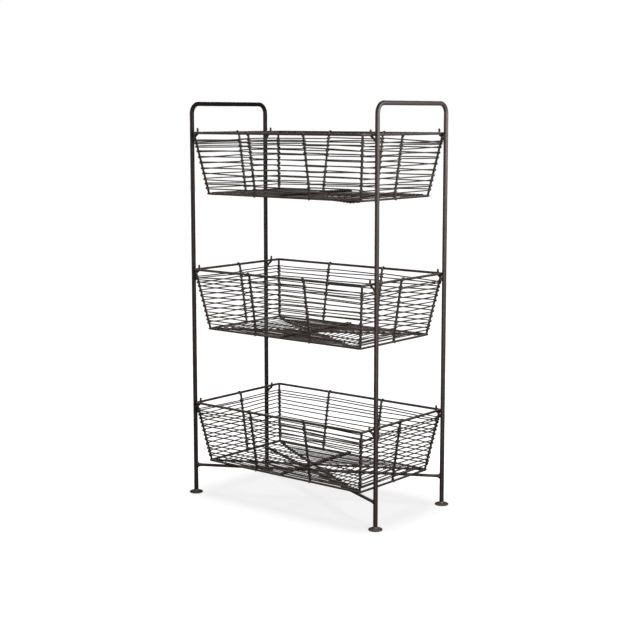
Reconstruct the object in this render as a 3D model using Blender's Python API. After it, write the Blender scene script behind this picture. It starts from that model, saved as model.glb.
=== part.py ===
"""Three-tier stand: equal wire baskets hung on hooks between two bent-rod side frames.

Metres, +Z up, origin on the floor under the middle of the stand. X runs along the long
side of the baskets, Y from front to back.
"""

import math

import bmesh
import bpy
from mathutils import Vector
from mathutils.kdtree import KDTree

# Clearance between pieces that touch or are welded on the real stand
GAP = 0.0003

# Baskets, measured between the middles of the rails
TIER_NAMES = ("lower", "middle", "upper")
LOWEST_RIM_HEIGHT = 0.218
TIER_SPACING = 0.3125
RIM_LENGTH = 0.486
RIM_WIDTH = 0.296
RIM_RADIUS = 0.0025
# The base rail lies this far inside the rim rail at each end and at each long side
BASE_END_INSET = 0.0215
BASE_SIDE_INSET = 0.023
BASE_RADIUS = 0.00225
BASKET_DEPTH = 0.138
RAIL_CORNER_RADIUS = 0.005

# Rods of the basket: corner rods, ribs and the floor spoke
ROD_RADIUS = 0.0021
CORNER_ROD_BEND_RADIUS = 0.0045
RIB_OFFSET_X = 0.079
# A rib's ends curl over the rim and under the base, by these angles about the rail's middle
RIM_CURL_START = math.radians(30.0)
RIM_CURL_END = math.radians(180.0)
BASE_CURL_START = math.radians(180.0)
BASE_CURL_END = math.radians(330.0)

# Thin wire wound round the rods
WIRE_RADIUS = 0.001
WALL_FIRST_ROW_DROP = 0.014
WALL_LAST_ROW_RISE = 0.010
WALL_ROWS = 11
FLOOR_TURNS = 12
FLOOR_OUTER_INSET = 0.014
FLOOR_INNER_INSET_SHARE = 0.86
FLOOR_CORNER_CUT_SHARE = 0.06

# Side frames: one rod each, bent to an upside-down U
LEG_RADIUS = 0.005
LEG_TO_RIM_SPACE = 0.0035
TOP_BAR_RISE = 0.066
FRAME_BEND_RADIUS = 0.022
# The left frame stands this far forward of the baskets' middle and the right frame this far back
FRAME_STAGGER = 0.0135

# Disc feet
FOOT_RADIUS = 0.016
FOOT_EDGE_HEIGHT = 0.0032
FOOT_DOME_RISE = 0.0018
FOOT_EDGE_ROUND = 0.0012
FOOT_DOME_SHARES = (0.66, 0.33, 0.0)

# Crossed brace rods near the floor
BRACE_RADIUS = 0.00325
BRACE_TO_BASKET_SPACE = 0.0032
BRACE_FLARE_LENGTH = 0.016
BRACE_FLARE_SHARES = ((0.0, 1.55), (0.15, 1.28), (0.4, 1.08), (1.0, 1.0))

# Hooks that carry the baskets
HOOK_RADIUS = 0.0021
HOOK_ROOT_LENGTH = 0.008
HOOK_ROOT_BEND_RADIUS = 0.005
HOOK_ARM_SLOPE = math.radians(35.0)
HOOK_STUB_BEND_RADIUS = 0.004
HOOK_STUB_RISE = 0.012
HOOK_RIM_PLAY = 0.0006
# Space between the outermost hooks and the long sides of the rim
HOOK_SIDE_SPACE = 0.0039
HOOK_TIP_SHARES = ((0.0, 1.0), (0.5, 0.87), (0.87, 0.5), (0.98, 0.2))

# Steps of round shapes
BEND_STEPS = 6
SMALL_BEND_STEPS = 4
CURL_STEPS = 5
FOOT_ROUND_STEPS = 2
FOOT_SIDES = 32
FOOT_MERGE_DISTANCE = 0.000002
SHARP_EDGE_ANGLE = math.radians(40.0)

# Sides of a rod's cross-section are 4 + 2 * resolution
LEG_RESOLUTION = 4
RAIL_RESOLUTION = 2
THIN_RESOLUTION = 1

# Points along a wire that its gap to itself is measured on
WIRE_SAMPLE_STEP = 0.001
WIRE_SAMPLE_RANGE = 0.012
WIRE_SAMPLE_SKIP = 0.030

# Colour, roughness and metallic value of each metal
STAND_IRON = ((0.060, 0.047, 0.042), 0.55, 0.6)
BASKET_IRON = ((0.050, 0.038, 0.034), 0.55, 0.6)
WIRE_IRON = ((0.055, 0.045, 0.042), 0.50, 0.6)

# Sizes worked out from those above
RIM_X = RIM_LENGTH / 2
RIM_Y = RIM_WIDTH / 2
BASE_X = RIM_X - BASE_END_INSET
BASE_Y = RIM_Y - BASE_SIDE_INSET
FOOT_HEIGHT = FOOT_EDGE_HEIGHT + FOOT_DOME_RISE
LEG_TO_RIM = LEG_RADIUS + LEG_TO_RIM_SPACE + RIM_RADIUS
LEG_X = RIM_X + LEG_TO_RIM
LEG_Y = RIM_Y - RIM_RADIUS - HOOK_SIDE_SPACE - HOOK_RADIUS - FRAME_STAGGER
TOP_BAR_HEIGHT = LOWEST_RIM_HEIGHT + (len(TIER_NAMES) - 1) * TIER_SPACING + TOP_BAR_RISE
# The hook's arm and stub are tangent to a circle of this radius about the rim rail's middle
HOOK_SEAT_RADIUS = RIM_RADIUS + HOOK_RADIUS + GAP
HOOK_ROOT_X = LEG_RADIUS + HOOK_RADIUS + GAP
HOOK_STUB_X = LEG_TO_RIM + HOOK_SEAT_RADIUS + HOOK_RIM_PLAY
RIM_CURL_RADIUS = RIM_RADIUS + ROD_RADIUS + GAP
BASE_CURL_RADIUS = BASE_RADIUS + ROD_RADIUS + GAP
WIRE_OFFSET = ROD_RADIUS + WIRE_RADIUS + GAP
# The wire rounds a post in two bends, an eighth of a turn each
WIRE_TANGENT = WIRE_OFFSET * math.tan(math.pi / 8)
# A corner post starts right under the rim rail's corner and ends inside the base rail's corner
POST_TOP_INSET = RAIL_CORNER_RADIUS * (1.0 - math.cos(math.pi / 4))
POST_FOOT_INSET = POST_TOP_INSET + BASE_CURL_RADIUS * math.cos(math.pi / 4)
POST_TOP_DROP = RIM_RADIUS + GAP
# Floor rods cross at three levels above or below the base rail's middle
SPOKE_LEVEL = BASE_CURL_RADIUS
UPPER_DIAGONAL_LEVEL = 0.0
LOWER_DIAGONAL_LEVEL = UPPER_DIAGONAL_LEVEL - 2 * ROD_RADIUS - GAP
LOWEST_BASKET_UNDERSIDE = LOWEST_RIM_HEIGHT - BASKET_DEPTH - BASE_CURL_RADIUS - ROD_RADIUS
UPPER_BRACE_HEIGHT = LOWEST_BASKET_UNDERSIDE - BRACE_TO_BASKET_SPACE - BRACE_RADIUS
LOWER_BRACE_HEIGHT = UPPER_BRACE_HEIGHT - 2 * BRACE_RADIUS - GAP
LEGS = {
    "front_left": (-LEG_X, -FRAME_STAGGER - LEG_Y),
    "rear_left": (-LEG_X, -FRAME_STAGGER + LEG_Y),
    "front_right": (LEG_X, FRAME_STAGGER - LEG_Y),
    "rear_right": (LEG_X, FRAME_STAGGER + LEG_Y),
}


def clear_scene():
    for obj in list(bpy.data.objects):
        bpy.data.objects.remove(obj, do_unlink=True)


def make_material(name, colour, roughness, metallic):
    material = bpy.data.materials.new(name)
    material.use_nodes = True
    shader = material.node_tree.nodes["Principled BSDF"]
    shader.inputs["Base Color"].default_value = (*colour, 1.0)
    shader.inputs["Roughness"].default_value = roughness
    shader.inputs["Metallic"].default_value = metallic
    return material


def add_object(name, data, material, place=(0.0, 0.0, 0.0), turn=0.0, parent=None):
    """Link one object for a sub-part, turned about Z and set at its place."""
    obj = bpy.data.objects.new(name, data)
    if not data.materials:
        data.materials.append(material)
    obj.location = place
    obj.rotation_euler = (0.0, 0.0, turn)
    obj.parent = parent
    bpy.context.scene.collection.objects.link(obj)
    return obj


def bend_points(before, corner, after, radius, steps):
    """Points of the arc that rounds the corner between two straight runs."""
    inward = (before - corner).normalized()
    outward = (after - corner).normalized()
    half_angle = inward.angle(outward) / 2
    reach = radius / math.tan(half_angle)
    bisector = (inward + outward).normalized()
    centre = corner + bisector * (radius / math.sin(half_angle))
    start = corner + inward * reach - centre
    end = corner + outward * reach - centre
    sweep = start.angle(end)
    points = []
    for step in range(steps + 1):
        share = step / steps
        first = math.sin((1.0 - share) * sweep) / math.sin(sweep)
        second = math.sin(share * sweep) / math.sin(sweep)
        points.append(centre + start * first + end * second)
    return points


def bent_path(corners, radii, steps, closed=False):
    """A path through corners, each rounded to its radius; the ends of an open path stay."""
    count = len(corners)
    points = []
    for index, corner in enumerate(corners):
        if not closed and index in (0, count - 1):
            points.append(Vector(corner))
            continue
        before = Vector(corners[index - 1])
        after = Vector(corners[(index + 1) % count])
        points += bend_points(before, Vector(corner), after, radii[index], steps)
    return points


def rod_data(name, points, radius, resolution, closed=False, swells=None):
    """A round rod along the points; swells are the shares of the radius at each point."""
    curve = bpy.data.curves.new(name, "CURVE")
    curve.dimensions = "3D"
    curve.bevel_depth = radius
    curve.bevel_resolution = resolution
    curve.use_fill_caps = True
    spline = curve.splines.new("POLY")
    spline.points.add(len(points) - 1)
    for index, point in enumerate(points):
        spline.points[index].co = (*point, 1.0)
        if swells:
            spline.points[index].radius = swells[index]
    spline.use_cyclic_u = closed
    return curve


def rail_data(name, x, y, radius):
    """A closed rectangular rail of half-sizes x and y with rounded corners, level with its origin."""
    corners = ((x, -y, 0.0), (x, y, 0.0), (-x, y, 0.0), (-x, -y, 0.0))
    radii = (RAIL_CORNER_RADIUS,) * len(corners)
    points = bent_path(corners, radii, SMALL_BEND_STEPS, closed=True)
    return rod_data(name, points, radius, RAIL_RESOLUTION, closed=True)


def foot_data():
    """A turned disc: flat below, rounded edge, gently domed above."""
    flat_radius = FOOT_RADIUS - FOOT_EDGE_ROUND
    upper_round = FOOT_EDGE_HEIGHT - FOOT_EDGE_ROUND
    profile = [(0.0, 0.0)]
    for round_height, start in ((FOOT_EDGE_ROUND, -math.pi / 2), (upper_round, 0.0)):
        for step in range(FOOT_ROUND_STEPS + 1):
            angle = start + math.pi / 2 * step / FOOT_ROUND_STEPS
            across = flat_radius + FOOT_EDGE_ROUND * math.cos(angle)
            profile.append((across, round_height + FOOT_EDGE_ROUND * math.sin(angle)))
    for share in FOOT_DOME_SHARES:
        rise = FOOT_DOME_RISE * (1.0 - share * share)
        profile.append((share * flat_radius, FOOT_EDGE_HEIGHT + rise))
    mesh = bmesh.new()
    verts = [mesh.verts.new((across, 0.0, height)) for across, height in profile]
    edges = [mesh.edges.new(pair) for pair in zip(verts, verts[1:])]
    bmesh.ops.spin(
        mesh,
        geom=verts + edges,
        cent=(0.0, 0.0, 0.0),
        axis=(0.0, 0.0, 1.0),
        angle=2 * math.pi,
        steps=FOOT_SIDES,
        use_duplicate=False,
    )
    bmesh.ops.remove_doubles(mesh, verts=mesh.verts, dist=FOOT_MERGE_DISTANCE)
    bmesh.ops.recalc_face_normals(mesh, faces=mesh.faces)
    data = bpy.data.meshes.new("foot")
    mesh.to_mesh(data)
    mesh.free()
    data.shade_smooth()
    data.set_sharp_from_angle(angle=SHARP_EDGE_ANGLE)
    return data


def side_frame_data():
    """One rod: leg, bend, top bar, bend, leg, in the YZ plane."""
    leg_end = FOOT_HEIGHT + GAP
    corners = (
        (0.0, -LEG_Y, leg_end),
        (0.0, -LEG_Y, TOP_BAR_HEIGHT),
        (0.0, LEG_Y, TOP_BAR_HEIGHT),
        (0.0, LEG_Y, leg_end),
    )
    radii = (0.0, FRAME_BEND_RADIUS, FRAME_BEND_RADIUS, 0.0)
    points = bent_path(corners, radii, BEND_STEPS)
    return rod_data("side_frame", points, LEG_RADIUS, LEG_RESOLUTION)


def brace_data(name, start_leg, end_leg, height):
    """A straight rod between two legs, flared at both ends like its welds."""
    start_axis = Vector((*LEGS[start_leg], height))
    end_axis = Vector((*LEGS[end_leg], height))
    along = (end_axis - start_axis).normalized()
    start = start_axis + along * (LEG_RADIUS + GAP)
    end = end_axis - along * (LEG_RADIUS + GAP)
    points = []
    swells = []
    for share, swell in BRACE_FLARE_SHARES:
        points.append(start + along * (share * BRACE_FLARE_LENGTH))
        swells.append(swell)
    for share, swell in reversed(BRACE_FLARE_SHARES):
        points.append(end - along * (share * BRACE_FLARE_LENGTH))
        swells.append(swell)
    return rod_data(name, points, BRACE_RADIUS, RAIL_RESOLUTION, swells=swells)


def hook_arm_height(across):
    """Height of the sloping arm's middle below the rim rail's middle, at a distance from the leg's axis."""
    seat_x = LEG_TO_RIM + HOOK_SEAT_RADIUS * math.sin(HOOK_ARM_SLOPE)
    seat_height = -HOOK_SEAT_RADIUS * math.cos(HOOK_ARM_SLOPE)
    return seat_height + math.tan(HOOK_ARM_SLOPE) * (across - seat_x)


def hook_data():
    """Root up the leg, arm that rises under the rim and upright stub, from the leg's axis towards +X."""
    root_top = hook_arm_height(HOOK_ROOT_X)
    corners = (
        (HOOK_ROOT_X, 0.0, root_top - HOOK_ROOT_LENGTH),
        (HOOK_ROOT_X, 0.0, root_top),
        (HOOK_STUB_X, 0.0, hook_arm_height(HOOK_STUB_X)),
        (HOOK_STUB_X, 0.0, HOOK_STUB_RISE - HOOK_RADIUS),
    )
    radii = (0.0, HOOK_ROOT_BEND_RADIUS, HOOK_STUB_BEND_RADIUS, 0.0)
    points = bent_path(corners, radii, SMALL_BEND_STEPS)
    swells = [1.0] * (len(points) - 1)
    stub_top = points.pop()
    for share, swell in HOOK_TIP_SHARES:
        points.append(stub_top + Vector((0.0, 0.0, share * HOOK_RADIUS)))
        swells.append(swell)
    return rod_data("hook", points, HOOK_RADIUS, THIN_RESOLUTION, swells=swells)


def wall_point(drop):
    """Half-length and half-width between the rails' middles at a drop below the rim."""
    share = drop / BASKET_DEPTH
    x = RIM_X + (BASE_X - RIM_X) * share
    y = RIM_Y + (BASE_Y - RIM_Y) * share
    return x, y


def post_axis(drop):
    """A corner post's half-distances at a drop below the rim."""
    x, y = wall_point(drop)
    inset = POST_TOP_INSET + (POST_FOOT_INSET - POST_TOP_INSET) * drop / BASKET_DEPTH
    return x - inset, y - inset


def rib_inset(drop):
    """How far inside the rails' middles a rib stands at a drop below the rim."""
    return RIM_CURL_RADIUS + (BASE_CURL_RADIUS - RIM_CURL_RADIUS) * drop / BASKET_DEPTH


def corner_rod_data(name, side, level):
    """One rod: corner post, diagonal across the floor, opposite corner post."""
    floor_drop = BASKET_DEPTH - level
    top_x, top_y = post_axis(POST_TOP_DROP)
    foot_x, foot_y = post_axis(floor_drop)
    corners = (
        (-top_x, -side * top_y, -POST_TOP_DROP),
        (-foot_x, -side * foot_y, -floor_drop),
        (foot_x, side * foot_y, -floor_drop),
        (top_x, side * top_y, -POST_TOP_DROP),
    )
    radii = (0.0, CORNER_ROD_BEND_RADIUS, CORNER_ROD_BEND_RADIUS, 0.0)
    points = bent_path(corners, radii, SMALL_BEND_STEPS)
    return rod_data(name, points, ROD_RADIUS, THIN_RESOLUTION)


def spoke_data():
    """A straight rod across the floor, lying on the front and rear base rails."""
    reach = BASE_Y + BASE_RADIUS
    height = SPOKE_LEVEL - BASKET_DEPTH
    points = (Vector((0.0, -reach, height)), Vector((0.0, reach, height)))
    return rod_data("floor_spoke", points, ROD_RADIUS, THIN_RESOLUTION)


def curl_points(reach, height, radius, start, end):
    """An arc about a rail's middle, in the XZ plane."""
    points = []
    for step in range(CURL_STEPS + 1):
        angle = start + (end - start) * step / CURL_STEPS
        across = reach + radius * math.cos(angle)
        points.append(Vector((across, 0.0, height + radius * math.sin(angle))))
    return points


def rib_data(name, rim_reach, base_reach):
    """A rib that faces +X: curled over the rim rail, straight down inside, curled under the base rail."""
    points = curl_points(rim_reach, 0.0, RIM_CURL_RADIUS, RIM_CURL_START, RIM_CURL_END)
    points += curl_points(base_reach, -BASKET_DEPTH, BASE_CURL_RADIUS, BASE_CURL_START, BASE_CURL_END)
    return rod_data(name, points, ROD_RADIUS, THIN_RESOLUTION)


def wall_row(drop):
    """One level row of the wall wire, outside every post and rib, once round from the rear left post."""
    wall_x, wall_y = wall_point(drop)
    post_x, post_y = post_axis(drop)
    rib_wire_inset = rib_inset(drop) - WIRE_OFFSET
    rib_x = wall_x - rib_wire_inset
    rib_y = wall_y - rib_wire_inset
    far_x, near_x = post_x + WIRE_OFFSET, post_x + WIRE_TANGENT
    far_y, near_y = post_y + WIRE_OFFSET, post_y + WIRE_TANGENT
    places = (
        (-far_x, near_y),
        (-rib_x, 0.0),
        (-far_x, -near_y),
        (-near_x, -far_y),
        (-RIB_OFFSET_X, -rib_y),
        (RIB_OFFSET_X, -rib_y),
        (near_x, -far_y),
        (far_x, -near_y),
        (rib_x, 0.0),
        (far_x, near_y),
        (near_x, far_y),
        (RIB_OFFSET_X, rib_y),
        (-RIB_OFFSET_X, rib_y),
        (-near_x, far_y),
    )
    return [Vector((x, y, -drop)) for x, y in places]


def wall_winding_points():
    """The wall wire's path: level rows, each joined to the next down the rear left post."""
    last_drop = BASKET_DEPTH - WALL_LAST_ROW_RISE
    row_step = (last_drop - WALL_FIRST_ROW_DROP) / (WALL_ROWS - 1)
    points = []
    for row in range(WALL_ROWS):
        points += wall_row(WALL_FIRST_ROW_DROP + row * row_step)
    return points


def floor_winding_points():
    """The floor wire's path: a flat rectangular spiral over both diagonals and under the spoke."""
    foot_x, foot_y = post_axis(BASKET_DEPTH)
    outer_x = foot_x - FLOOR_OUTER_INSET
    outer_y = foot_y - FLOOR_OUTER_INSET * foot_y / foot_x
    stops = ((-1, -1), (1, -1), (1, 1), (-1, 1))
    points = []
    for turn in range(FLOOR_TURNS):
        for index, (side_x, side_y) in enumerate(stops):
            progress = (turn + index / len(stops)) / FLOOR_TURNS
            size_share = 1.0 - FLOOR_INNER_INSET_SHARE * progress
            x = side_x * outer_x * size_share
            y = side_y * outer_y * size_share
            on_upper = side_x == side_y
            level = UPPER_DIAGONAL_LEVEL if on_upper else LOWER_DIAGONAL_LEVEL
            height = level + WIRE_OFFSET - BASKET_DEPTH
            cut = FLOOR_CORNER_CUT_SHARE * abs(y)
            along_x = (x - side_x * cut, y, height)
            along_y = (x, y - side_y * cut, height)
            before, after = (along_y, along_x) if on_upper else (along_x, along_y)
            points += [Vector(before), Vector(after)]
    return points


def least_gap_to_itself(points):
    """Least gap between stretches of a wire that aren't close along it, measured on points."""
    samples = []
    for start, end in zip(points, points[1:]):
        steps = math.ceil((end - start).length / WIRE_SAMPLE_STEP)
        samples += [start.lerp(end, step / steps) for step in range(steps)]
    tree = KDTree(len(samples))
    for index, sample in enumerate(samples):
        tree.insert(sample, index)
    tree.balance()
    skip = WIRE_SAMPLE_SKIP / WIRE_SAMPLE_STEP
    least = WIRE_SAMPLE_RANGE
    for index, sample in enumerate(samples):
        for _, other, distance in tree.find_range(sample, WIRE_SAMPLE_RANGE):
            if abs(other - index) > skip:
                least = min(least, distance)
    return least - 2 * WIRE_RADIUS


def build_stand(metal):
    frame = side_frame_data()
    add_object("side_frame_left", frame, metal, (-LEG_X, -FRAME_STAGGER, 0.0))
    add_object("side_frame_right", frame, metal, (LEG_X, FRAME_STAGGER, 0.0))
    foot = foot_data()
    hook = hook_data()
    for leg, (x, y) in LEGS.items():
        add_object("foot_" + leg, foot, metal, (x, y, 0.0))
        turn = 0.0 if x < 0 else math.pi
        for tier, tier_name in enumerate(TIER_NAMES):
            height = LOWEST_RIM_HEIGHT + tier * TIER_SPACING
            add_object(f"hook_{tier_name}_{leg}", hook, metal, (x, y, height), turn)
    over = brace_data("brace_over", "front_left", "rear_right", UPPER_BRACE_HEIGHT)
    under = brace_data("brace_under", "front_right", "rear_left", LOWER_BRACE_HEIGHT)
    add_object("brace_over", over, metal)
    add_object("brace_under", under, metal)


def build_baskets(rod_metal, wire_metal):
    rim = rail_data("rim_rail", RIM_X, RIM_Y, RIM_RADIUS)
    base = rail_data("base_rail", BASE_X, BASE_Y, BASE_RADIUS)
    corner_rods = {
        "corner_rod_upper": corner_rod_data("corner_rod_upper", 1, UPPER_DIAGONAL_LEVEL),
        "corner_rod_lower": corner_rod_data("corner_rod_lower", -1, LOWER_DIAGONAL_LEVEL),
    }
    spoke = spoke_data()
    long_rib = rib_data("long_rib", RIM_Y, BASE_Y)
    short_rib = rib_data("short_rib", RIM_X, BASE_X)
    ribs = {
        "rib_front_left": (long_rib, (-RIB_OFFSET_X, 0.0, 0.0), -math.pi / 2),
        "rib_front_right": (long_rib, (RIB_OFFSET_X, 0.0, 0.0), -math.pi / 2),
        "rib_rear_left": (long_rib, (-RIB_OFFSET_X, 0.0, 0.0), math.pi / 2),
        "rib_rear_right": (long_rib, (RIB_OFFSET_X, 0.0, 0.0), math.pi / 2),
        "rib_side_left": (short_rib, (0.0, 0.0, 0.0), math.pi),
        "rib_side_right": (short_rib, (0.0, 0.0, 0.0), 0.0),
    }
    wall_points = wall_winding_points()
    floor_points = floor_winding_points()
    wall_wire = rod_data("wall_winding", wall_points, WIRE_RADIUS, THIN_RESOLUTION)
    floor_wire = rod_data("floor_winding", floor_points, WIRE_RADIUS, THIN_RESOLUTION)
    for wire_name, points in (("wall", wall_points), ("floor", floor_points)):
        print(f"{wire_name} wire, least gap to itself: {least_gap_to_itself(points):.5f} m")
    for tier, tier_name in enumerate(TIER_NAMES):
        basket = bpy.data.objects.new("basket_" + tier_name, None)
        basket.location = (0.0, 0.0, LOWEST_RIM_HEIGHT + tier * TIER_SPACING)
        bpy.context.scene.collection.objects.link(basket)
        prefix = tier_name + "_"
        add_object(prefix + "rim_rail", rim, rod_metal, parent=basket)
        add_object(prefix + "base_rail", base, rod_metal, (0.0, 0.0, -BASKET_DEPTH), parent=basket)
        for name, data in corner_rods.items():
            add_object(prefix + name, data, rod_metal, parent=basket)
        add_object(prefix + "floor_spoke", spoke, rod_metal, parent=basket)
        for name, (data, place, turn) in ribs.items():
            add_object(prefix + name, data, rod_metal, place, turn, parent=basket)
        add_object(prefix + "wall_winding", wall_wire, wire_metal, parent=basket)
        add_object(prefix + "floor_winding", floor_wire, wire_metal, parent=basket)


def main():
    clear_scene()
    stand_metal = make_material("stand_iron", *STAND_IRON)
    basket_metal = make_material("basket_iron", *BASKET_IRON)
    wire_metal = make_material("wire_iron", *WIRE_IRON)
    build_stand(stand_metal)
    build_baskets(basket_metal, wire_metal)


main()
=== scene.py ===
"""Looks of the tiered basket stand: hand-forged rods, wound wire, weld beads and dark iron finishes.

Laid out as a Blender add-on and run as a script. Metres, +Z up, in the frame of the packed model.
"""

import math
import random

import bmesh
import bpy
import numpy as np
from mathutils import Matrix, Vector


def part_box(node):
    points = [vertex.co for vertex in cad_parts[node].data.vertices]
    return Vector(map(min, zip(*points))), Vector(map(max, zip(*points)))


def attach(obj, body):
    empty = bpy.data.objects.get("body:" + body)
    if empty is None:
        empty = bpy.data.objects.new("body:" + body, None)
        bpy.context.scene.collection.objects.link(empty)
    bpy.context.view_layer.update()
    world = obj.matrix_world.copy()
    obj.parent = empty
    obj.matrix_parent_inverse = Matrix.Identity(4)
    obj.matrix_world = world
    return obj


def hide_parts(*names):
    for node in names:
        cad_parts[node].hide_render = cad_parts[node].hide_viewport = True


bl_info = {
    "name": "Tiered basket stand",
    "version": (1, 0, 0),
    "blender": (4, 5, 0),
    "location": "3D View > Sidebar > Basket Stand",
    "description": "Builds the forged and wound pieces of a three-tier wire basket stand",
    "category": "Object",
}

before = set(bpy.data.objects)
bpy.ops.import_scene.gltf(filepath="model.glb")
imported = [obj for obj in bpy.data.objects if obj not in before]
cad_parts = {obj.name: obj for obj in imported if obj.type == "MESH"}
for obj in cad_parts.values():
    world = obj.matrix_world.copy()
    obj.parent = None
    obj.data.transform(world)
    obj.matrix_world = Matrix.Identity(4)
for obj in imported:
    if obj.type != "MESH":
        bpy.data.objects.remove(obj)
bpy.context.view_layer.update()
TIERS = ("lower", "middle", "upper")
LEG_NAMES = ("front_left", "rear_left", "front_right", "rear_right")
SIDES = ("left", "right")
UP = Vector((0.0, 0.0, 1.0))
X_WAY = Vector((1.0, 0.0, 0.0))
FULL_TURN = 2 * math.pi


def middle(node):
    low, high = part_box(node)
    return (low + high) / 2


def spread(node):
    low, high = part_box(node)
    return high - low


# Places read from the packed model, on the middle lines of its rods
RIM_SPREAD = spread("lower_rim_rail")
BASE_SPREAD = spread("lower_base_rail")
RIM_X = (RIM_SPREAD.x - RIM_SPREAD.z) / 2
RIM_Y = (RIM_SPREAD.y - RIM_SPREAD.z) / 2
BASE_X = (BASE_SPREAD.x - BASE_SPREAD.z) / 2
BASE_Y = (BASE_SPREAD.y - BASE_SPREAD.z) / 2
RIM_HEIGHTS = {tier: middle(f"{tier}_rim_rail").z for tier in TIERS}
DEPTH = RIM_HEIGHTS["lower"] - middle("lower_base_rail").z
RIB_OFFSET_X = middle("lower_rib_front_right").x
SPOKE_LEVEL = middle("lower_floor_spoke").z - RIM_HEIGHTS["lower"] + DEPTH
LEGS = {leg: middle("foot_" + leg).xy for leg in LEG_NAMES}
LEG_TO_RIM = LEGS["front_right"].x - RIM_X
# Room kept for the dents inside the packed model's box
DENT_ROOM = 0.0003
FOOT_WIDTH = spread("foot_front_left").x - 2 * DENT_ROOM
FOOT_HEIGHT = spread("foot_front_left").z
LEG_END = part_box("side_frame_left")[0].z
TOP_BAR_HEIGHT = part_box("side_frame_left")[1].z - spread("side_frame_left").x / 2 - DENT_ROOM
BRACES = {
    "brace_over": ("front_left", "rear_right"),
    "brace_under": ("front_right", "rear_left"),
}

# How finely each line is drawn: steps in a bend, and the longest gap between points elsewhere
LEG_FINENESS = (16, 0.004)
HOOK_FINENESS = (8, 0.0015)
RAIL_FINENESS = (7, 0.004)
ROD_FINENESS = (8, 0.003)
BRACE_GAP = 0.002
SPAN_GAP = 0.010
WRAP_STEP = math.radians(18.0)
CURL_STEPS = 14
FOOT_EDGE_STEPS = 8
FOOT_SIDES = 64
# Gap left between pieces that touch
TOUCH = 0.00006
# How far along a rod its tip starts to round off, and how thick it is there, as shares of the radius
TIP_SHARES = ((0.0, 1.0), (0.38, 0.925), (0.7, 0.714), (0.92, 0.39), (0.99, 0.14))
# Length at a rod's end, as a share of its radius, whose points give way to the tip's
TIP_ROOM_SHARE = 1.2

# The side frames and their feet
FRAME_BEND_RADIUS = 0.022
FOOT_EDGE_HEIGHT = 0.0032
# How round the foot's edge is, as a share of half its height
FOOT_EDGE_SHARE = 0.9
FOOT_FLAT_SHARES = (0.5, 0.8)
FOOT_DOME_SHARES = (0.86, 0.76, 0.66, 0.56, 0.48)
# The weld collar round the leg: heights above its lower edge and widths past the leg
FOOT_COLLAR = ((0.0003, 0.0020), (0.0009, 0.0014), (0.0018, 0.0008), (0.0026, 0.0003), (0.0029, 0.0001))
FOOT_COLLAR_SINK = 0.0004
FOOT_COLLAR_TOP = 0.0026
# The outline's point on the edge by which dents are measured, and how close points count as one
FOOT_EDGE_POINT = 8
FOOT_MERGE = 0.000005
FOOT_DENT = 0.0004
FOOT_OUT_OF_ROUND_SHARE = 0.012

# The hooks and braces
HOOK_SLOPE = math.radians(35.0)
HOOK_SEAT_GAP = 0.0003
HOOK_RIM_PLAY = 0.0006
HOOK_ROOT_LENGTH = 0.0045
HOOK_BEND_RADIUS = 0.004
HOOK_STUB_RISE = 0.012
# The hook stubs that stand lower than the others, and how much the others vary
STUB_SHARES = {("lower", "front_right"): 0.55, ("lower", "rear_left"): 0.8}
STUB_RANGE_SHARES = (0.9, 1.0)
# Steps from one hook's seed to the next, and from the wall wires' seeds to the floor wires'
HOOK_SEED_STEP = 17
FLOOR_SEED_STEP = 10
# How far a stub leans inwards and sideways, from least to most, as shares of the hook lean
LEAN_SHARES = (0.3, 1.0)
DRIFT_SHARES = (-0.7, 0.7)
# How deep a brace's ends stand in the legs, and how they flare there
BRACE_SINK = 0.0012
BRACE_FLARE_SHARE = 0.42
BRACE_FLARE_LENGTH = 0.0062

# The baskets' rods
RAIL_CORNER_RADIUS = 0.005
POST_BEND_RADIUS = 0.0045
# How much further inside the rails' middles a post's foot stands than its top, as a share of the base rail
POST_FOOT_SHARE = 0.25
# How far below the rim's middle a post's top stands, as a share of the rim's radius
POST_TOP_SHARE = 0.6
LOWER_DIAGONAL_LEVEL = -0.0045
DIP_SHARE = 0.25
RIM_CURL = math.radians(150.0)
BASE_CURL = -math.radians(115.0)
CURL_TIP_SHARE = 0.36

# Drops of the wall wire's rows below the rim where a basket has eleven, closer near the rim and the floor
ROW_DROPS = (0.0146, 0.0222, 0.0306, 0.0415, 0.0535, 0.0662, 0.0790, 0.0918, 0.1040, 0.1155, 0.1245)
# Rows of each basket; they were wound by hand and differ
ROW_COUNTS = {"lower": 13, "middle": 12, "upper": 11}
# How far the first rows ride up on the long sides, away from the hooks
LONG_SIDE_LIFTS = (0.0034, 0.0018, 0.0008)
# How far below its row the wire starts down to the next, and how far it goes on below the last, in wraps
STEP_DOWN = 0.0007
LAST_WRAP_SHARE = 1.25
# Share of its thickness that the wire keeps where it is pulled tight round a rod
WRAP_SWELL = 0.83
# Length from which a span of wire bows in full, and its sideways bow as a share of its bow up or down
FULL_BOW_SPAN = 0.15
SIDE_BOW_SHARE = 0.6
# Where the floor wire begins and ends along the diagonals, and how far its first turn moves in
FLOOR_OUTER_SHARE = 0.965
FLOOR_INNER_SHARE = 0.095
FLOOR_CLOSE_SHARE = 0.030
FLOOR_OVERLAP = math.radians(22.0)
FLOOR_RISE_SHARE = 1.12
FLOOR_BOW_SHARE = 0.6
# How far the floor wire strays along a diagonal, as a share of it, and along the spoke
FLOOR_STRAY_SHARE = 0.0028
SPOKE_STRAY = 0.0004

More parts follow.
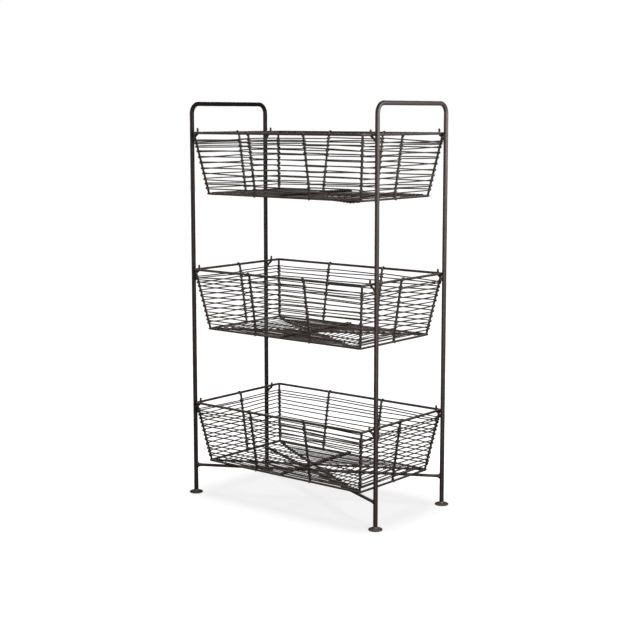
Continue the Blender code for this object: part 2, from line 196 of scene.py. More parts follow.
# Half-sizes of the weld beads
BEADS = {
    "hook_root": (0.0032, 0.0014, 0.0013),
    "brace_end": (0.0046, 0.0024, 0.0022),
    "brace_crossing": (0.0042, 0.0034, 0.0022),
    "nub": (0.0030, 0.0024, 0.0020),
    "post_top": (0.0031, 0.0029, 0.0024),
    "post_foot": (0.0032, 0.0027, 0.0022),
    "rib_top": (0.0033, 0.0018, 0.0018),
    "rib_foot": (0.0031, 0.0017, 0.0017),
    "spoke_end": (0.0034, 0.0022, 0.0016),
    "rim_joint": (0.0042, 0.0029, 0.0029),
    "base_joint": (0.0038, 0.0027, 0.0027),
}
HOOK_BEAD_DROP = 0.0122
HOOK_BEAD_SIDE = 0.0019
HOOK_BEAD_OUT = 0.0004
BRACE_BEAD_OUT = 0.0006
BRACE_BEAD_SHARE = 0.50
BRACE_BEAD_SLANT = 0.75
NUB_DROP = 0.006
NUB_WAY = Vector((0.62, 0.78, 0.0))
POST_BEAD_DROP = 0.0004
POST_BEAD_OUT = 0.0016
RIB_BEAD_GAP = 0.0012
RIB_BEAD_SHARE = 0.8
SPOKE_BEAD_SINK = 0.0004
RIM_JOINT_X = 0.031
BASE_JOINT_X = -0.046


def number_property(name, description, default, **settings):
    return bpy.props.FloatProperty(name=name, description=description, default=default, **settings)


def length_property(name, description, default, **settings):
    return number_property(name, description, default, subtype="DISTANCE", unit="LENGTH", **settings)


def power_property(name, description, default):
    return number_property(name, description, default, subtype="POWER")


def colour_property(name, description, default):
    return bpy.props.FloatVectorProperty(
        name=name, description=description, default=default, subtype="COLOR", size=3, min=0.0, max=1.0
    )


class StandSizes(bpy.types.PropertyGroup):
    """Sizes of the welded stand."""

    leg: length_property("Leg rod", "Diameter of the side frames' rod", 0.0100)
    brace: length_property("Brace rod", "Diameter of the crossed braces", 0.0069)
    hook: length_property("Hook rod", "Diameter of the hooks", 0.0049)
    foot: length_property("Foot disc", "Diameter of a foot", FOOT_WIDTH)
    hook_lean: number_property("Hook lean", "Most that a stub leans", math.radians(2.5), subtype="ANGLE")


class BasketSizes(bpy.types.PropertyGroup):
    """Sizes of a basket."""

    rim: length_property("Rim rail", "Diameter of the rim rail", 0.0057)
    base: length_property("Base rail", "Diameter of the base rail", 0.0050)
    rod: length_property("Posts and ribs", "Diameter of the corner rods, ribs and floor spoke", 0.0052)
    wire: length_property("Wall wire", "Diameter of the walls' wire", 0.0028)
    floor_wire: length_property("Floor wire", "Diameter of the floor's wire", 0.0021)
    wrap_rise: length_property("Wrap rise", "How far the wire moves along a rod in one turn round it", 0.0027)
    wander: length_property("Row wander", "How far a row strays up or down where it meets a rod", 0.0011)
    bow: length_property("Wire bow", "Most that a span of wire bows", 0.0007)
    floor_turns: bpy.props.IntProperty(
        name="Floor turns", description="Turns of the floor wire", default=13, min=4
    )
    seed: bpy.props.IntProperty(name="Seed", description="Start of the hand-wound unevenness", default=7)


class ForgeLook(bpy.types.PropertyGroup):
    """How uneven the hand-forged metal is."""

    thickness_wander: number_property(
        "Thickness wander", "Share by which a rod's thickness varies", 0.05, subtype="FACTOR"
    )
    hammer_depth: length_property("Hammer depth", "Depth of the hammered dents", 0.00022, precision=5)
    bead_lumps: length_property("Bead lumps", "Height of the lumps on a weld bead", 0.0006, precision=5)


class IronLook(bpy.types.PropertyGroup):
    """Colours of the dark iron and its wear."""

    deep: colour_property("Deep iron", "Colour of the dark oxide", (0.0210, 0.0108, 0.0078))
    brown: colour_property("Brown iron", "Colour of the brown oxide", (0.084, 0.038, 0.024))
    worn: colour_property("Worn iron", "Colour of rubbed places", (0.260, 0.135, 0.085))
    rust: colour_property("Rust", "Colour of the rust freckles", (0.085, 0.034, 0.018))


class StageLook(bpy.types.PropertyGroup):
    """The studio."""

    warm: colour_property("Warm light", "Colour of the lights on the stand", (1.0, 0.94, 0.90))
    cool: colour_property("Cool light", "Colour of the light on the right", (1.0, 0.975, 0.955))
    plain: colour_property("Plain light", "Colour of the light on the floor", (1.0, 1.0, 1.0))
    paper: colour_property("Paper", "Colour of the floor", (0.90, 0.90, 0.90))
    key_power: power_property("Key light", "Power of the key light", 4.9)
    side_power: power_property("Side light", "Power of the light on the right", 11.0)
    basket_power: power_property("Basket light", "Power of the soft light down into the baskets", 44.0)
    back_power: power_property("Back light", "Power of the light that glances off the wires", 20.0)
    fill_power: power_property("Fill light", "Power of the weak light on the left", 4.5)
    top_power: power_property("Top light", "Power of the soft light overhead", 20.0)
    sky: number_property("Studio level", "Brightness of the surroundings", 0.05)
    # The floor's glow under the stand, where it is lowered as a painted shadow
    glow: number_property("Paper glow", "Light that the floor gives off", 0.775)


# Node trees

ROD_INPUTS = {"Radius": "Float", "Sides": "Int", "Thickness Wander": "Float", "Wander Scale": "Float"}
FINISH_INPUTS = {"Dent Depth": "Float", "Dent Scale": "Float", "Seed": "Float", "Metal": "Material"}


def feed(tree, node, inputs):
    """Sets the node's inputs. A socket among the values is linked, and a node stands for its first output."""
    for name, value in inputs.items():
        if isinstance(value, bpy.types.Node):
            value = value.outputs[0]
        if isinstance(value, bpy.types.NodeSocket):
            tree.links.new(value, node.inputs[name])
        else:
            node.inputs[name].default_value = value


def add_node(tree, kind, column, row=0, inputs=None, **settings):
    """A node at a place in the tree's own grid, with its settings and inputs."""
    node = tree.nodes.new(kind)
    node.location = (220 * column, -200 * row)
    for name, value in settings.items():
        setattr(node, name, value)
    feed(tree, node, inputs or {})
    return node


def math_node(tree, operation, column, row, first, second):
    return add_node(tree, "ShaderNodeMath", column, row, {0: first, 1: second}, operation=operation)


def attribute_socket(tree, column, row, name, kind):
    node = add_node(tree, "GeometryNodeInputNamedAttribute", column, row, {"Name": name}, data_type=kind)
    return node.outputs["Attribute"]


def new_geometry_tree(name, inputs):
    """A geometry tree with its named inputs, as its input node's outputs, and its output node."""
    tree = bpy.data.node_groups.new(name, "GeometryNodeTree")
    tree.interface.new_socket("Geometry", in_out="OUTPUT", socket_type="NodeSocketGeometry")
    for label, kind in {"Geometry": "Geometry", **inputs, **FINISH_INPUTS}.items():
        tree.interface.new_socket(label, in_out="INPUT", socket_type="NodeSocket" + kind)
    return tree, add_node(tree, "NodeGroupInput", 0).outputs, add_node(tree, "NodeGroupOutput", 12)


def centred_noise(tree, column, row, scale, seed):
    """Noise about zero on the piece's own place, from -0.5 to 0.5."""
    place = add_node(tree, "GeometryNodeInputPosition", column, row)
    inputs = {"Detail": 2.0, "Vector": place, "W": seed, "Scale": scale}
    noise = add_node(tree, "ShaderNodeTexNoise", column + 1, row, inputs, noise_dimensions="4D")
    return math_node(tree, "SUBTRACT", column + 2, row, noise, 0.5)


def dent_and_finish(tree, given, end, shape, column):
    """Dents the surface along its normals, smooths its shading and gives it its metal."""
    noise = centred_noise(tree, column, 1, given["Dent Scale"], given["Seed"])
    depth = math_node(tree, "MULTIPLY", column + 3, 1, noise, given["Dent Depth"])
    normal = add_node(tree, "GeometryNodeInputNormal", column + 2, 2)
    scaled = {0: normal, "Scale": depth}
    push = add_node(tree, "ShaderNodeVectorMath", column + 4, 1, scaled, operation="SCALE")
    dented = add_node(tree, "GeometryNodeSetPosition", column + 4, 0, {"Geometry": shape, "Offset": push})
    smooth = add_node(tree, "GeometryNodeSetShadeSmooth", column + 5, 0, {"Geometry": dented})
    solid = add_node(tree, "GeometryNodeRealizeInstances", column + 6, 0, {0: smooth})
    finish = {"Geometry": solid, "Material": given["Metal"]}
    feed(tree, end, {0: add_node(tree, "GeometryNodeSetMaterial", column + 7, 0, finish)})


def forged_rod_tree(name):
    """Sweeps a round section along lines, with a thickness that wanders and a dented surface."""
    tree, given, end = new_geometry_tree(name, ROD_INPUTS)
    line = add_node(tree, "GeometryNodeMeshToCurve", 1, 0, {"Mesh": given["Geometry"]})
    ring = {"Resolution": given["Sides"], "Radius": given["Radius"]}
    section = add_node(tree, "GeometryNodeCurvePrimitiveCircle", 2, 3, ring)
    swell = attribute_socket(tree, 3, 4, "swell", "FLOAT")
    noise = centred_noise(tree, 1, 5, given["Wander Scale"], given["Seed"])
    share = math_node(tree, "MULTIPLY", 4, 5, noise, given["Thickness Wander"])
    share = math_node(tree, "ADD", 5, 5, share, 1.0)
    thickness = math_node(tree, "MULTIPLY", 6, 4, swell, share)
    sweep = {"Curve": line, "Profile Curve": section, "Scale": thickness, "Fill Caps": True}
    dent_and_finish(tree, given, end, add_node(tree, "GeometryNodeCurveToMesh", 4, 0, sweep), 5)
    return tree


def weld_bead_tree(name):
    """Sets a lumpy bead of its own size and direction on each point."""
    tree, given, end = new_geometry_tree(name, {})
    ball = add_node(tree, "GeometryNodeMeshIcoSphere", 1, 2, {"Radius": 1.0, "Subdivisions": 3})
    size = attribute_socket(tree, 1, 3, "bead_size", "FLOAT_VECTOR")
    way = attribute_socket(tree, 1, 4, "bead_way", "FLOAT_VECTOR")
    turn = add_node(tree, "FunctionNodeAlignRotationToVector", 2, 4, {"Vector": way}, axis="X")
    spots = {"Points": given["Geometry"], "Instance": ball, "Scale": size, "Rotation": turn}
    beads = add_node(tree, "GeometryNodeInstanceOnPoints", 3, 0, spots)
    dent_and_finish(tree, given, end, add_node(tree, "GeometryNodeRealizeInstances", 4, 0, {0: beads}), 5)
    return tree


TREES = {"Forged rod": forged_rod_tree, "Weld beads": weld_bead_tree}


# Metals


def ramp_node(tree, column, row, source, *stops):
    """Colours along the source's values, each (value, colour or grey)."""
    ramp = add_node(tree, "ShaderNodeValToRGB", column, row, {0: source})
    for element, (position, shade) in zip(ramp.color_ramp.elements, stops):
        element.position = position
        element.color = shade if isinstance(shade, tuple) else (shade, shade, shade, 1.0)
    return ramp


def mix_colours(tree, column, share, first, second):
    inputs = {"Factor": share, "A": first, "B": second}
    return add_node(tree, "ShaderNodeMix", column, 0, inputs, data_type="RGBA").outputs["Result"]


# Noises of the iron's finish: scale, detail and roughness
IRON_NOISES = {
    "clouds": (26.0, 5.0, 0.6),
    "patches": (7.0, 3.0, 0.5),
    "freckles": (340.0, 3.0, 0.65),
    "grain": (900.0, 4.0, 0.6),
    "dents": (190.0, 2.0, 0.5),
}
# Roughness of the smoothest and the roughest places, before the gloss
MATT_RANGE = (0.66, 0.80)
PATCH_WEAR_SHARE = 0.55
IRON_SHEEN = {"Metallic": 0.72, "Specular IOR Level": 0.35}
# Colour of the sheen where the iron is seen at a slant
EDGE_TINT = (1.0, 0.78, 0.68)
DENT_BUMP = {"Strength": 0.5, "Distance": 0.0006}
GRAIN_BUMP = {"Strength": 0.35, "Distance": 0.00018}
# How light, worn and glossy each iron is, and how bright where it is seen at a slant
METALS = {
    "frame_iron": (1.0, 0.9, 0.04, 1.0),
    "foot_iron": (0.35, 0.5, 0.02, 0.35),
    "hook_iron": (0.45, 0.3, 0.04, 0.8),
    "basket_iron": (0.75, 0.8, 0.08, 1.0),
    "wire_iron": (1.1, 0.7, 0.20, 1.0),
}


def iron_metal(name, lightness, wear, gloss, edge):
    """Dark oxidised iron: cloudy browns, rust freckles, rubbed high places and a fine scaly grain."""
    look = bpy.context.scene.iron_look
    colours = (look.deep, look.brown, look.worn)
    deep, brown, worn = ((*(part * lightness for part in colour), 1.0) for colour in colours)
    metal = bpy.data.materials.new(name)
    metal.use_nodes = True
    tree = metal.node_tree
    place = add_node(tree, "ShaderNodeTexCoord", 0).outputs["Object"]
    noises = []
    for row, (scale, detail, roughness) in enumerate(IRON_NOISES.values()):
        inputs = {"Scale": scale, "Detail": detail, "Roughness": roughness, "Vector": place}
        noises.append(add_node(tree, "ShaderNodeTexNoise", 1, row, inputs))
    clouds, patches, freckles, grain, dents = noises
    oxide = ramp_node(tree, 3, 0, clouds, (0.36, deep), (0.62, brown))
    patch_share = ramp_node(tree, 3, 1, patches, (0.42, 0.15), (0.62, 1.0))
    rust_share = ramp_node(tree, 3, 2, freckles, (0.56, 0.0), (0.74, 0.7))
    grain_share = ramp_node(tree, 3, 3, grain, (0.35, 0.0), (0.75, 0.55))
    pointed = add_node(tree, "ShaderNodeNewGeometry", 4, 5).outputs["Pointiness"]
    rubbed = ramp_node(tree, 5, 5, pointed, (0.50, 0.0), (0.60, 1.0))
    rust_amount = math_node(tree, "MULTIPLY", 5, 2, rust_share, patch_share)
    rub_wear = math_node(tree, "MULTIPLY", 6, 5, rubbed, clouds)
    patch_wear = math_node(tree, "MULTIPLY", 6, 4, patch_share, clouds)
    patch_wear = math_node(tree, "MULTIPLY", 7, 4, patch_wear, PATCH_WEAR_SHARE)
    wear_share = math_node(tree, "ADD", 7, 5, rub_wear, patch_wear)
    wear_share = math_node(tree, "MULTIPLY", 8, 5, wear_share, wear)
    colour = mix_colours(tree, 5, grain_share, oxide, deep)
    colour = mix_colours(tree, 6, rust_amount, colour, (*look.rust, 1.0))
    colour = mix_colours(tree, 8, wear_share, colour, worn)
    smooth, rough = (matt - gloss for matt in MATT_RANGE)
    span = {"Value": freckles, "From Min": 0.3, "From Max": 0.7, "To Min": smooth, "To Max": rough}
    roughness = add_node(tree, "ShaderNodeMapRange", 6, 3, span)
    dent_bump = add_node(tree, "ShaderNodeBump", 7, 1, {"Height": dents, **DENT_BUMP})
    grain_bump = add_node(tree, "ShaderNodeBump", 8, 1, {"Height": grain, "Normal": dent_bump, **GRAIN_BUMP})
    shader = tree.nodes["Principled BSDF"]
    shader.location = (2000, 0)
    tint = (*(part * edge for part in EDGE_TINT), 1.0)
    made = {"Base Color": colour, "Roughness": roughness, "Normal": grain_bump, "Specular Tint": tint}
    feed(tree, shader, {**IRON_SHEEN, **made})
    return metal


def metal_named(slot):
    return bpy.data.materials.get(slot) or iron_metal(slot, *METALS[slot])


# Lines that the rods follow


def bend_points(before, corner, after, radius, steps):
    """Points of the arc that rounds the corner between two straight runs."""
    inward = (before - corner).normalized()
    outward = (after - corner).normalized()
    half_angle = inward.angle(outward) / 2
    reach = radius / math.tan(half_angle)
    centre = corner + (inward + outward).normalized() * (radius / math.sin(half_angle))
    first = corner + inward * reach - centre
    last = corner + outward * reach - centre
    sweep = first.angle(last)
    points = []
    for step in range(steps + 1):
        share = step / steps
        start_weight = math.sin((1.0 - share) * sweep) / math.sin(sweep)
        end_weight = math.sin(share * sweep) / math.sin(sweep)
        points.append(centre + first * start_weight + last * end_weight)
    return points


def bent_line(corners, radius, steps, closed=False):
    """A line through the corners, each rounded to the radius."""
    points = []
    count = len(corners)
    for index, corner in enumerate(corners):
        if not closed and index in (0, count - 1):
            points.append(corner.copy())
            continue
        before, after = corners[index - 1], corners[(index + 1) % count]
        points += bend_points(before, corner, after, radius, steps)
    return points


def close_up(points, gap, closed=False):
    """The same line with points no further apart than a gap."""
    ends = points[1:] + points[:1] if closed else points[1:]
    dense = []
    for start, end in zip(points, ends):
        count = max(1, math.ceil((end - start).length / gap))
        dense += [start.lerp(end, share / count) for share in range(count)]
    return dense if closed else dense + [points[-1].copy()]


def round_tip(points, swells, radius):
    """Rounds off the last end of a line, inside its length."""
    end = points[-1]
    thickness = swells[-1]
    way = (end - points[-2]).normalized()
    while len(points) > 2 and (end - points[-1]).length < radius * TIP_ROOM_SHARE:
        points.pop()
        swells.pop()
    for share, swell in TIP_SHARES:
        points.append(end - way * radius * (1.0 - share))
        swells.append(thickness * swell)


def tipped(points, radius, swells=None):
    """An open line with both tips rounded."""
    swells = swells or [1.0] * len(points)
    for _ in range(2):
        round_tip(points, swells, radius * swells[-1])
        points.reverse()
        swells.reverse()
    return points, swells, False


def whole(points, closed=False):
    """A line at its full thickness throughout."""
    return points, [1.0] * len(points), closed


# Pieces


def new_object(name, data):
    made = bpy.data.objects.new(name, data)
    bpy.context.scene.collection.objects.link(made)
    return made


def mesh_of(shape, name):
    data = bpy.data.meshes.new(name)
    shape.to_mesh(data)
    shape.free()
    return data


def line_piece(name, lines):
    """An object that holds lines with a swell at each point."""
    points, edges, swells = [], [], []
    for line, line_swells, closed in lines:
        first = len(points)
        points += line
        swells += line_swells
        edges += [(first + index, first + index + 1) for index in range(len(line) - 1)]
        if closed:
            edges.append((len(points) - 1, first))
    data = bpy.data.meshes.new(name)
    data.from_pydata(points, edges, [])
    data.attributes.new("swell", "FLOAT", "POINT").data.foreach_set("value", swells)
    return new_object(name, data)


def settle(piece, tree_name, values):
    """Runs a geometry tree on the piece and keeps its result as a plain mesh with outward faces."""
    tree = bpy.data.node_groups.get(tree_name) or TREES[tree_name](tree_name)
    sockets = {item.name: item.identifier for item in tree.interface.items_tree if item.in_out == "INPUT"}
    modifier = piece.modifiers.new(tree_name, "NODES")
    modifier.node_group = tree
    for label, value in values.items():
        modifier[sockets[label]] = value
    graph = bpy.context.evaluated_depsgraph_get()
    made = bpy.data.meshes.new_from_object(piece.evaluated_get(graph), depsgraph=graph)
    piece.modifiers.clear()
    given = piece.data
    piece.data = made
    bpy.data.meshes.remove(given)
    made.name = piece.name
    for name in ("swell", "bead_size", "bead_way"):
        if name in made.attributes:
            made.attributes.remove(made.attributes[name])
    if not made.polygons:
        raise RuntimeError(f"{piece.name} came out with no faces")
    face_out(made)


def face_out(mesh):
    """Turns the faces outwards if the mesh as a whole is inside out."""
    mesh.calc_loop_triangles()
    places = np.empty(len(mesh.vertices) * 3)
    corners = np.empty(len(mesh.loop_triangles) * 3, int)
    mesh.vertices.foreach_get("co", places)
    mesh.loop_triangles.foreach_get("vertices", corners)
    triangles = places.reshape(-1, 3)[corners.reshape(-1, 3)]
    if np.linalg.det(triangles).sum() < 0:
        mesh.flip_normals()


def seat(piece, body, nodes=()):
    """Makes the piece ride on its body, and hides the model's solids that it stands for."""
    if nodes:
        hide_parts(*nodes)
    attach(piece, body)


# Each rod's group of sizes, metal, faces round it, scale of its dents and their share of the hammer's depth
RODS = {
    "leg": ("stand_sizes", "frame_iron", 24, 60.0, 1.4),
    "brace": ("stand_sizes", "frame_iron", 18, 80.0, 1.2),
    "hook": ("stand_sizes", "hook_iron", 14, 160.0, 0.7),
    "rim": ("basket_sizes", "basket_iron", 16, 110.0, 1.0),
    "base": ("basket_sizes", "basket_iron", 16, 110.0, 1.0),
    "rod": ("basket_sizes", "basket_iron", 14, 110.0, 1.0),
    "wire": ("basket_sizes", "wire_iron", 8, 200.0, 0.25),
    "floor_wire": ("basket_sizes", "wire_iron", 8, 200.0, 0.25),
}
THICKNESS_WANDER_SCALE = 45.0
BEAD_LUMP_SCALE = 420.0


def forge(kind, name, lines, body, nodes):
    """One piece of forged rods of a kind along lines."""
    group, slot, sides, dent_scale, dent_share = RODS[kind]
    look = bpy.context.scene.forge_look
    piece = line_piece(name, lines)
    values = {
        "Radius": getattr(getattr(bpy.context.scene, group), kind) / 2,
        "Sides": sides,
        "Thickness Wander": look.thickness_wander * 2,
        "Wander Scale": THICKNESS_WANDER_SCALE,
        "Dent Depth": look.hammer_depth * dent_share,
        "Dent Scale": dent_scale,
        "Seed": float(len(name)),
        "Metal": metal_named(slot),
    }
    settle(piece, "Forged rod", values)
    seat(piece, body, nodes)


def bead_piece(name, beads, body, slot):
    """One piece of weld beads, each (place, kind, way its length runs)."""
    data = bpy.data.meshes.new(name)
    data.from_pydata([place for place, _, _ in beads], [], [])
    sizes = [BEADS[kind] for _, kind, _ in beads]
    ways = [way for _, _, way in beads]
    for label, vectors in (("bead_size", sizes), ("bead_way", ways)):
        flat = [value for vector in vectors for value in vector]
        data.attributes.new(label, "FLOAT_VECTOR", "POINT").data.foreach_set("vector", flat)
    piece = new_object(name, data)
    values = {
        "Dent Depth": bpy.context.scene.forge_look.bead_lumps * 2,
        "Dent Scale": BEAD_LUMP_SCALE,
        "Seed": float(len(name)),
        "Metal": metal_named(slot),
    }
    settle(piece, "Weld beads", values)
    seat(piece, body)


# The stand


def side_frame_line(side):
    """Leg, bend, top bar, bend, leg."""
    front, rear = LEGS["front_" + side], LEGS["rear_" + side]
    heights = (LEG_END, TOP_BAR_HEIGHT, TOP_BAR_HEIGHT, LEG_END)
    corners = [Vector((*leg, height)) for leg, height in zip((front, front, rear, rear), heights)]
    steps, gap = LEG_FINENESS
    return close_up(bent_line(corners, FRAME_BEND_RADIUS, steps), gap)


def foot_profile(sizes):
    """Half the foot's outline, from the middle of its underside to its top: rounded edge, dome, collar."""
    radius = sizes.foot / 2
    leg = sizes.leg / 2
    edge = FOOT_EDGE_HEIGHT / 2
    bulge = edge * FOOT_EDGE_SHARE
    profile = [(0.0, 0.0)] + [(radius * share, 0.0) for share in FOOT_FLAT_SHARES]
    for step in range(FOOT_EDGE_STEPS + 1):
        angle = math.pi * (step / FOOT_EDGE_STEPS - 0.5)
        profile.append((radius - bulge + bulge * math.cos(angle), edge + edge * math.sin(angle)))
    dome = FOOT_HEIGHT - FOOT_EDGE_HEIGHT
    for share in FOOT_DOME_SHARES:
        profile.append((radius * share, FOOT_EDGE_HEIGHT + dome * (1.0 - share * share)))
    for rise, out in FOOT_COLLAR:
        profile.append((leg + out, FOOT_HEIGHT + rise - FOOT_COLLAR_SINK))
    top = FOOT_HEIGHT + FOOT_COLLAR_TOP
    return profile + [(leg / 2, top), (0.0, top)]


def turned_foot(name, sizes, metal):
    """A foot turned from its profile, lightly dented so that it looks forged."""
    profile = foot_profile(sizes)
    edge_reach = profile[FOOT_EDGE_POINT][0]
    shape = bmesh.new()
    verts = [shape.verts.new((across, 0.0, height)) for across, height in profile]
    outline = verts + [shape.edges.new(pair) for pair in zip(verts, verts[1:])]
    bmesh.ops.spin(shape, geom=outline, cent=(0.0, 0.0, 0.0), axis=UP, angle=FULL_TURN, steps=FOOT_SIDES)
    bmesh.ops.remove_doubles(shape, verts=shape.verts, dist=FOOT_MERGE)
    bmesh.ops.recalc_face_normals(shape, faces=shape.faces)
    wobble = random.Random(name)
    phases = [wobble.uniform(0.0, FULL_TURN) for _ in range(3)]
    for vert in shape.verts:
        angle = math.atan2(vert.co.y, vert.co.x)
        reach = math.hypot(vert.co.x, vert.co.y) / edge_reach
        wave = sum(math.sin((2 + n) * angle + phase) for n, phase in enumerate(phases)) / 3
        if vert.co.z > 0.0:
            vert.co.z = max(0.0, vert.co.z + FOOT_DENT * wave * reach * 0.5)
        vert.co.x *= 1.0 + wave * FOOT_OUT_OF_ROUND_SHARE * reach
        vert.co.y *= 1.0 + wave * FOOT_OUT_OF_ROUND_SHARE * reach
    data = mesh_of(shape, name)
    data.shade_smooth()
    data.materials.append(metal)
    return data


def hook_line(leg, tier, sizes, seed):
    """Root up the leg's inner face, arm that rises under the rim, stub inside the rim."""
    chance = random.Random(seed)
    rim_height = RIM_HEIGHTS[tier]
    seat_radius = (bpy.context.scene.basket_sizes.rim + sizes.hook) / 2 + HOOK_SEAT_GAP
    root = sizes.leg / 2 + sizes.hook / 2 + TOUCH
    stub = LEG_TO_RIM + seat_radius + HOOK_RIM_PLAY

    def arm_height(across):
        seat_x = LEG_TO_RIM + seat_radius * math.sin(HOOK_SLOPE)
        return math.tan(HOOK_SLOPE) * (across - seat_x) - seat_radius * math.cos(HOOK_SLOPE)

    lean = chance.uniform(*LEAN_SHARES) * sizes.hook_lean
    drift = chance.uniform(*DRIFT_SHARES) * sizes.hook_lean
    top = HOOK_STUB_RISE * STUB_SHARES.get((tier, leg), chance.uniform(*STUB_RANGE_SHARES))
    rise = top - arm_height(stub)
    place = LEGS[leg]
    inward = math.copysign(1.0, -place.x)
    corners = (
        Vector((root, 0.0, arm_height(root) - HOOK_ROOT_LENGTH)),
        Vector((root, 0.0, arm_height(root))),
        Vector((stub, 0.0, arm_height(stub))),
        Vector((stub + rise * math.tan(lean), rise * math.tan(drift), top)),
    )
    steps, gap = HOOK_FINENESS
    points = bent_line(corners, HOOK_BEND_RADIUS, steps)
    return close_up([Vector((place.x + inward * p.x, place.y + p.y, rim_height + p.z)) for p in points], gap)


def brace_line(node, sizes):
    """A straight rod between two legs, thicker where it is welded to them."""
    start_leg, end_leg = (Vector((*LEGS[leg], middle(node).z)) for leg in BRACES[node])
    along = (end_leg - start_leg).normalized()
    start = start_leg + along * (sizes.leg / 2 - BRACE_SINK)
    end = end_leg - along * (sizes.leg / 2 - BRACE_SINK)
    points = close_up([start, end], BRACE_GAP)
    swells = []
    for point in points:
        from_leg = min((point - start).length, (point - end).length)
        swells.append(1.0 + BRACE_FLARE_SHARE * math.exp(-((from_leg / BRACE_FLARE_LENGTH) ** 2)))
    return points, swells, False


def stand_weld_beads(sizes):
    """Beads at the hooks' roots and the braces' ends and crossing, and the nub on one leg."""
    beads = []
    leg_radius = sizes.leg / 2
    for place in LEGS.values():
        inward = math.copysign(1.0, -place.x)
        for tier in TIERS:
            low = RIM_HEIGHTS[tier] - HOOK_BEAD_DROP
            for side in (-1.0, 1.0):
                across = place.x + inward * (leg_radius + HOOK_BEAD_OUT)
                beads.append((Vector((across, place.y + side * HOOK_BEAD_SIDE, low)), "hook_root", UP))
    for node, legs in BRACES.items():
        ends = [Vector((*LEGS[leg], middle(node).z)) for leg in legs]
        for leg, other in (ends, reversed(ends)):
            along = (other - leg).normalized()
            for side in (-1.0, 1.0):
                rise = UP * side * sizes.brace * BRACE_BEAD_SHARE
                way = (UP * side - along * BRACE_BEAD_SLANT).normalized()
                beads.append((leg + along * (leg_radius + BRACE_BEAD_OUT) + rise, "brace_end", way))
    nub = Vector((*LEGS["front_right"], RIM_HEIGHTS["upper"] - NUB_DROP)) + NUB_WAY * leg_radius
    crossing = (middle("brace_over") + middle("brace_under")) / 2
    return beads + [(nub, "nub", NUB_WAY), (crossing, "brace_crossing", X_WAY)]


# The baskets


def post_inset(share):
    """How far inside the rails' middles a corner post stands, from rim (0) to base (1)."""
    top = RAIL_CORNER_RADIUS * (1.0 - math.cos(math.pi / 4))
    foot = top + bpy.context.scene.basket_sizes.base * POST_FOOT_SHARE
    return top + (foot - top) * share


def rib_inset(share):
    """How far inside the rails' middles a rib stands, from rim (0) to base (1)."""
    sizes = bpy.context.scene.basket_sizes
    top = (sizes.rim + sizes.rod) / 2 + TOUCH
    foot = (sizes.base + sizes.rod) / 2 + TOUCH
    return top + (foot - top) * share


def wall_half(share):
    """Half the wall's length and width, from rim (0) to base (1)."""
    return RIM_X + (BASE_X - RIM_X) * share, RIM_Y + (BASE_Y - RIM_Y) * share


def post_place(side_x, side_y, drop):
    """A corner post's middle at a drop below the rim."""
    share = drop / DEPTH
    x, y = wall_half(share)
    inset = post_inset(share)
    return Vector((side_x * (x - inset), side_y * (y - inset), -drop))


def rib_place(side, offset, drop):
    """A rib's middle at a drop; side is its wall's outward direction."""
    share = drop / DEPTH
    x, y = wall_half(share)
    reach = (x if side.x else y) - rib_inset(share)
    along = Vector((-side.y, side.x, 0.0))
    return side * reach + along * offset - UP * drop


LEFT, FRONT, RIGHT, REAR = (Vector(way) for way in ((-1, 0, 0), (0, -1, 0), (1, 0, 0), (0, 1, 0)))
# Angle of each wall's outward direction, as the wire meets the walls going round
WALL_ANGLES = {"left": math.pi, "front": 1.5 * math.pi, "right": 2.0 * math.pi, "rear": 2.5 * math.pi}
RIBS = {
    "rib_side_left": (LEFT, 0.0),
    "rib_front_left": (FRONT, -RIB_OFFSET_X),
    "rib_front_right": (FRONT, RIB_OFFSET_X),
    "rib_side_right": (RIGHT, 0.0),
    "rib_rear_right": (REAR, -RIB_OFFSET_X),
    "rib_rear_left": (REAR, RIB_OFFSET_X),
}


def crossings():
    """The rods that a row goes round after the rear left post.

    Each has its place at a drop, the wire's angles in and out, and 1 on a long side, where rows ride up.
    """

    def rib(name, wall):
        side, offset = RIBS[name]
        return (lambda drop: rib_place(side, offset, drop)), WALL_ANGLES[wall], WALL_ANGLES[wall], abs(side.y)

    def post(side_x, side_y, wall, next_wall):
        return (lambda drop: post_place(side_x, side_y, drop)), WALL_ANGLES[wall], WALL_ANGLES[next_wall], 0.0

    return (
        rib("rib_side_left", "left"),
        post(-1, -1, "left", "front"),
        rib("rib_front_left", "front"),
        rib("rib_front_right", "front"),
        post(1, -1, "front", "right"),
        rib("rib_side_right", "right"),
        post(1, 1, "right", "rear"),
        rib("rib_rear_right", "rear"),
        rib("rib_rear_left", "rear"),
    )


def wrap_points(place_at, angle_from, angle_to, drop_from, drop_to, radius):
    """Points of a coil round a leaning rod, from one angle and drop to another."""
    count = math.ceil(abs(angle_to - angle_from) / WRAP_STEP)
    axis = (place_at(DEPTH) - place_at(0.0)).normalized()
    points = []
    for step in range(count + 1):
        share = step / count
        angle = angle_from + (angle_to - angle_from) * share
        way = Vector((math.cos(angle), math.sin(angle), 0.0))
        way = (way - axis * way.dot(axis)).normalized()
        points.append(place_at(drop_from + (drop_to - drop_from) * share) + way * radius)
    return points


def span_points(start, end, bow):
    """Points between two wraps, with a slight bow."""
    count = max(2, math.ceil((end - start).length / SPAN_GAP))
    shares = [step / count for step in range(1, count)]
    return [start.lerp(end, share) + bow * math.sin(math.pi * share) for share in shares]


